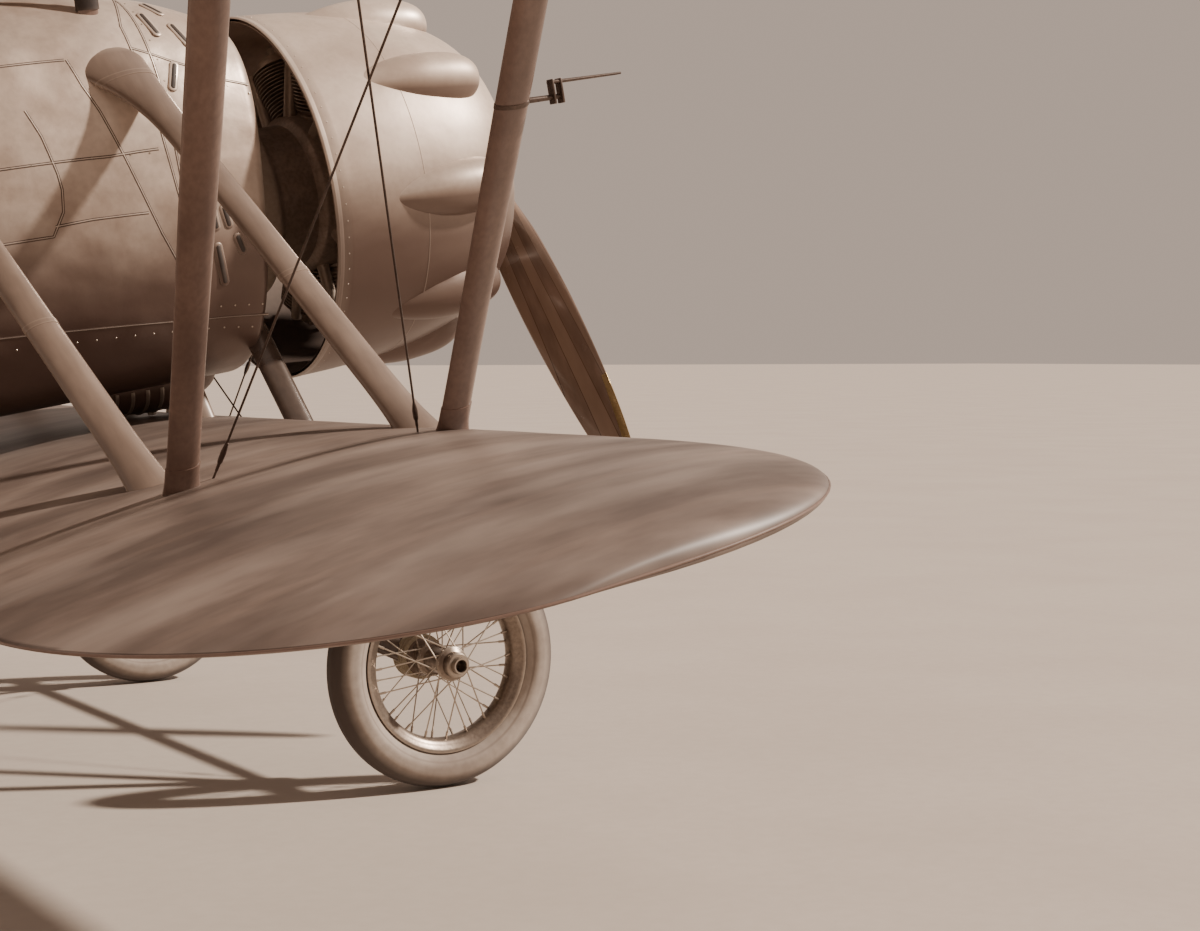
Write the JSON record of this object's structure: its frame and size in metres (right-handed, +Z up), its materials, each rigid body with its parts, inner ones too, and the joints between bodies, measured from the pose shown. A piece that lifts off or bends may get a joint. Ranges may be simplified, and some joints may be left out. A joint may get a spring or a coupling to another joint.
{
  "type": "single-bay biplane",
  "caption": "Single-seat biplane with a round blistered engine cowl, slanting truss struts, thick rounded wing tips, wire wheels and a tail skid.",
  "frame": {"origin": "on the ground, below the middle of the aircraft's length and span", "axes": "+X towards the nose, +Y to port along the span, +Z up; parked on its wheels and tail skid"},
  "size_m": [6.187, 8.4956, 2.7708],
  "materials": {
    "cowl_metal": "satin, weathered",
    "panel_metal": "satin, weathered",
    "fuselage_skin": "doped, satin",
    "wing_skin": "mottled dope, satin",
    "dark_wood": "dark varnish",
    "pale_strut": "pale paint over streamlined wood",
    "varnished_wood": "varnished",
    "engine_metal": "cast and oiled",
    "steel": "dull steel",
    "tyre": "pale old rubber",
    "leather": "worn",
    "glass": "clear"
  },
  "bodies": {
    "airframe": {"fuselage_nose": "panel_metal", "fuselage_cockpit": "fuselage_skin", "fuselage_tail": "fuselage_skin", "headrest": "leather", "seat": "leather", "instrument_panel": "varnished_wood", "control_column": "steel", "windscreen": "glass", "engine_cowl": "cowl_metal", "engine": "engine_metal", "belly_sump": "panel_metal", "upper_wing_centre": "wing_skin", "upper_wing_left": "wing_skin", "upper_wing_right": "wing_skin", "lower_wing_left": "wing_skin", "lower_wing_right": "wing_skin", "interplane_strut_front_left": "dark_wood", "interplane_strut_front_right": "dark_wood", "interplane_strut_rear_left": "dark_wood", "interplane_strut_rear_right": "dark_wood", "diagonal_strut_front_left": "pale_strut", "diagonal_strut_front_right": "pale_strut", "diagonal_strut_rear_left": "pale_strut", "diagonal_strut_rear_right": "pale_strut", "incidence_wires_left": "steel", "incidence_wires_right": "steel", "cabane_frame_left": "dark_wood", "cabane_frame_right": "dark_wood", "wing_root_strut_front_left": "pale_strut", "wing_root_strut_front_right": "pale_strut", "wing_root_strut_rear_left": "pale_strut", "wing_root_strut_rear_right": "pale_strut", "gear_legs_left": "pale_strut", "gear_legs_right": "pale_strut", "gear_wires": "steel", "axle": "steel", "tailplane": "wing_skin", "fin": "wing_skin", "tailplane_strut_left": "dark_wood", "tailplane_strut_right": "dark_wood", "tail_skid": "dark_wood", "pitot_head": "steel"},
    "propeller": {"propeller": "varnished_wood", "propeller_hub": "steel"},
    "wheel_left": {"wheel_left": "steel", "tyre_left": "tyre"},
    "wheel_right": {"wheel_right": "steel", "tyre_right": "tyre"},
    "aileron_left": {"aileron_left": "wing_skin"},
    "aileron_right": {"aileron_right": "wing_skin"},
    "elevator": {"elevator": "wing_skin"},
    "rudder": {"rudder": "wing_skin"}
  },
  "joints": [
    {"name": "propeller_spin", "type": "hinge", "parent": "airframe", "child": "propeller", "pos_m": [2.90341, 0, 1.76436], "axis": [0.9833, 0, 0.1822], "continuous": true},
    {"name": "wheel_spin_left", "type": "hinge", "parent": "airframe", "child": "wheel_left", "pos_m": [2.17672, 1.06, 0.335], "axis": [0, 1, 0], "continuous": true},
    {"name": "wheel_spin_right", "type": "hinge", "parent": "airframe", "child": "wheel_right", "pos_m": [2.17672, -1.06, 0.335], "axis": [0, 1, 0], "continuous": true},
    {"name": "aileron_tilt_left", "type": "hinge", "parent": "airframe", "child": "aileron_left", "pos_m": [0.45964, 2.35, 2.32272], "axis": [-0.0064, 0.9994, 0.0343], "range_deg": [-20, 20]},
    {"name": "aileron_tilt_right", "type": "hinge", "parent": "airframe", "child": "aileron_right", "pos_m": [0.45964, -2.35, 2.32272], "axis": [0.0064, 0.9994, -0.0343], "range_deg": [-20, 20]},
    {"name": "elevator_tilt", "type": "hinge", "parent": "airframe", "child": "elevator", "pos_m": [-2.41568, 0, 1.05109], "axis": [0, 1, 0], "range_deg": [-22, 28]},
    {"name": "rudder_swing", "type": "hinge", "parent": "airframe", "child": "rudder", "pos_m": [-2.59358, 0, 1.05067], "axis": [-0.1822, 0, 0.9833], "range_deg": [-25, 25]}
  ],
  "couplings": [
    {"joint": "aileron_tilt_right", "follows": "aileron_tilt_left", "ratio": -1}
  ]
}
